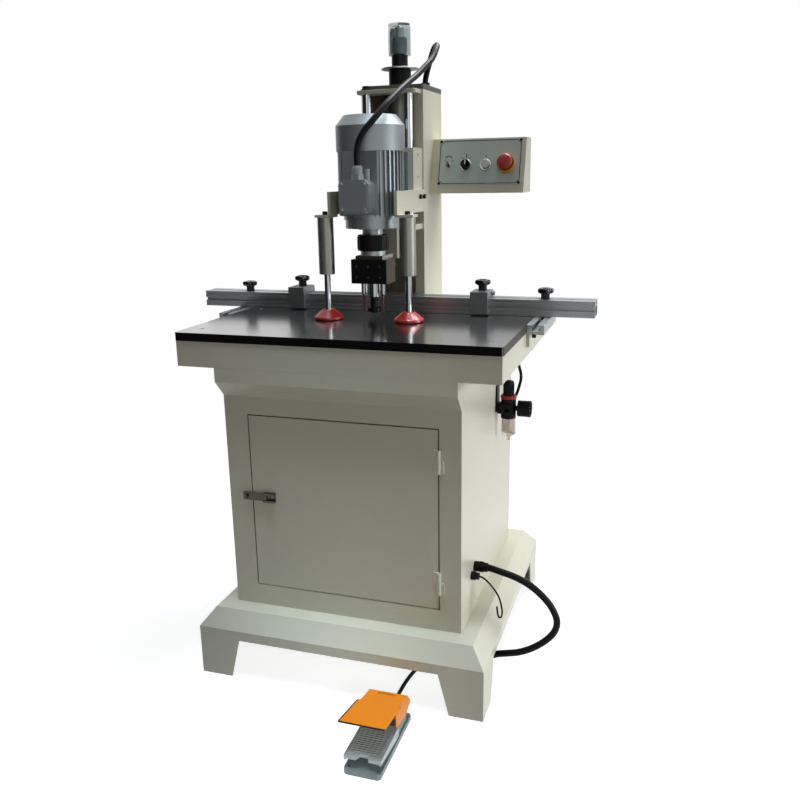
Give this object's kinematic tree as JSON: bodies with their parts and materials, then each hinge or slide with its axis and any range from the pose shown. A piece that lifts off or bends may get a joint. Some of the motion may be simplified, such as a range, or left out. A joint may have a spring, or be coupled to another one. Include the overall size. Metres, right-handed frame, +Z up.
{
  "type": "hinge drilling machine",
  "caption": "Cabinet-stand hinge drilling machine: motor head with gear-driven bits on a column, air clamps, sliding fence with stops, tilted control box and foot pedal.",
  "frame": {"origin": "on the floor at the middle of the whole machine's box, pedal included", "axes": "+Z up, +Y from the operator to the back, +X along the fence to the operator's right"},
  "size_m": [1.1, 1.017, 1.629],
  "materials": {
    "ivory_paint": "semi-gloss ivory paint",
    "black_table": "black laminate",
    "aluminium": "brushed",
    "dark_plate": "dark phosphate",
    "chrome": "polished",
    "steel": "machined",
    "black_plastic": "moulded",
    "black_steel": "black oxide",
    "clear_plastic": "clear",
    "motor_grey": "silver-grey enamel",
    "cast_iron": "machined and painted",
    "bronze": "dull",
    "red_paint": "gloss",
    "red_plastic": "gloss",
    "panel_grey": "satin",
    "light_plastic": "gloss",
    "pedal_grey": "grey casting",
    "orange_paint": "orange",
    "rubber": "matt"
  },
  "bodies": {
    "stand": {"plinth": "ivory_paint", "cabinet": "ivory_paint", "apron": "ivory_paint", "table_top": "black_table", "fence_rails": "aluminium", "column": "ivory_paint", "column_lid": "dark_plate", "guide_rods": "chrome", "feed_cylinder": "aluminium", "control_box": "ivory_paint", "control_panel": "panel_grey", "switch_collars": "chrome", "frl_body": "black_plastic", "frl_bowl": "clear_plastic", "gauge_case": "black_plastic", "glands": "black_plastic", "pedal_base": "pedal_grey", "pedal_guard": "orange_paint", "pedal_conduit": "rubber", "sensor_lead": "rubber", "air_hose": "rubber"},
    "head": {"carriage": "cast_iron", "motor_frame": "motor_grey", "fan_cover": "motor_grey", "terminal_box": "motor_grey", "clamp_arms": "ivory_paint", "clamp_cylinders": "aluminium", "gear_case": "bronze", "gear_cover": "black_steel", "feed_rod": "steel", "stop_cap": "clear_plastic", "motor_cable": "rubber"},
    "depth_stop": {"depth_nut": "black_steel"},
    "spindle": {"motor_shaft": "steel", "coupling": "black_steel", "centre_chuck": "steel", "cup_bit": "black_steel"},
    "left_drill": {"left_spindle": "steel", "left_bit": "red_paint"},
    "right_drill": {"right_spindle": "steel", "right_bit": "red_paint"},
    "clamp_left": {"clamp_rod_left": "chrome", "clamp_foot_left": "red_paint"},
    "clamp_right": {"clamp_rod_right": "chrome", "clamp_foot_right": "red_paint"},
    "fence": {"fence": "aluminium"},
    "fence_lock_left": {"fence_knob_left": "black_plastic"},
    "fence_lock_right": {"fence_knob_right": "black_plastic"},
    "stop_left": {"stop_left": "aluminium"},
    "stop_right": {"stop_right": "aluminium"},
    "stop_lock_left": {"stop_knob_left": "black_plastic"},
    "stop_lock_right": {"stop_knob_right": "black_plastic"},
    "door": {"door": "ivory_paint"},
    "hasp": {"hasp": "chrome"},
    "selector": {"selector_knob": "black_plastic"},
    "toggle": {"toggle": "chrome"},
    "button": {"push_button": "light_plastic"},
    "estop": {"estop_head": "red_plastic"},
    "regulator": {"frl_knob": "black_plastic"},
    "treadle": {"treadle": "pedal_grey"}
  },
  "joints": [
    {"name": "head_slide", "type": "slide", "parent": "stand", "child": "head", "axis": [0, 0, 1], "range_m": [0, 0.07], "deforming": ["motor_cable"]},
    {"name": "depth_nut_turn", "type": "hinge", "parent": "head", "child": "depth_stop", "pos_m": [0, 0.3465, 1.56], "axis": [0, 0, 1], "range_deg": [-180, 180]},
    {"name": "spindle_spin", "type": "hinge", "parent": "head", "child": "spindle", "pos_m": [0, 0.1015, 1], "axis": [0, 0, 1], "continuous": true},
    {"name": "left_drill_spin", "type": "hinge", "parent": "head", "child": "left_drill", "pos_m": [-0.026, 0.096, 0.98], "axis": [0, 0, 1], "continuous": true},
    {"name": "right_drill_spin", "type": "hinge", "parent": "head", "child": "right_drill", "pos_m": [0.026, 0.096, 0.98], "axis": [0, 0, 1], "continuous": true},
    {"name": "clamp_left_slide", "type": "slide", "parent": "head", "child": "clamp_left", "axis": [0, 0, 1], "range_m": [0, 0.05]},
    {"name": "clamp_right_slide", "type": "slide", "parent": "head", "child": "clamp_right", "axis": [0, 0, 1], "range_m": [0, 0.05]},
    {"name": "fence_slide", "type": "slide", "parent": "stand", "child": "fence", "axis": [0, 1, 0], "range_m": [-0.07, 0.012]},
    {"name": "fence_knob_left_turn", "type": "hinge", "parent": "fence", "child": "fence_lock_left", "pos_m": [-0.421, 0.2265, 0.945], "axis": [0, 0, 1], "range_deg": [-180, 180]},
    {"name": "fence_knob_right_turn", "type": "hinge", "parent": "fence", "child": "fence_lock_right", "pos_m": [0.421, 0.2265, 0.945], "axis": [0, 0, 1], "range_deg": [-180, 180]},
    {"name": "stop_left_slide", "type": "slide", "parent": "fence", "child": "stop_left", "axis": [1, 0, 0], "range_m": [-0.1, 0.12]},
    {"name": "stop_right_slide", "type": "slide", "parent": "fence", "child": "stop_right", "axis": [1, 0, 0], "range_m": [-0.12, 0.1]},
    {"name": "stop_knob_left_turn", "type": "hinge", "parent": "stop_left", "child": "stop_lock_left", "pos_m": [-0.257, 0.2265, 0.965], "axis": [0, 0, 1], "range_deg": [-180, 180]},
    {"name": "stop_knob_right_turn", "type": "hinge", "parent": "stop_right", "child": "stop_lock_right", "pos_m": [0.257, 0.2265, 0.965], "axis": [0, 0, 1], "range_deg": [-180, 180]},
    {"name": "door_hinge", "type": "hinge", "parent": "stand", "child": "door", "pos_m": [0.247, -0.1775, 0.459], "axis": [0, 0, 1], "range_deg": [0, 110]},
    {"name": "hasp_fold", "type": "hinge", "parent": "door", "child": "hasp", "pos_m": [-0.2, -0.1775, 0.476], "axis": [0, 0, 1], "range_deg": [0, 115]},
    {"name": "selector_turn", "type": "hinge", "parent": "stand", "child": "selector", "pos_m": [0.181, 0.35068, 1.26695], "axis": [0, -0.9593, 0.2823], "range_deg": [-45, 45]},
    {"name": "toggle_turn", "type": "hinge", "parent": "stand", "child": "toggle", "pos_m": [0.1325, 0.35068, 1.26695], "axis": [0, -0.9593, 0.2823], "range_deg": [0, 90]},
    {"name": "button_press", "type": "slide", "parent": "stand", "child": "button", "axis": [0, 0.9593, -0.2823], "range_m": [0, 0.004], "stiffness_N_per_m": 400, "springref_m": -0.004},
    {"name": "estop_press", "type": "slide", "parent": "stand", "child": "estop", "axis": [0, 0.9593, -0.2823], "range_m": [0, 0.005]},
    {"name": "regulator_turn", "type": "hinge", "parent": "stand", "child": "regulator", "pos_m": [0.332, 0.2195, 0.68], "axis": [0, 0, 1], "range_deg": [-180, 180]},
    {"name": "treadle_press", "type": "hinge", "parent": "stand", "child": "treadle", "pos_m": [0.1645, -0.3905, 0.028], "axis": [1, 0, 0], "range_deg": [0, 8], "stiffness_Nm_per_rad": 4, "springref_deg": -14.32}
  ],
  "couplings": [
    {"joint": "left_drill_spin", "follows": "spindle_spin", "ratio": -1},
    {"joint": "right_drill_spin", "follows": "spindle_spin", "ratio": -1}
  ]
}
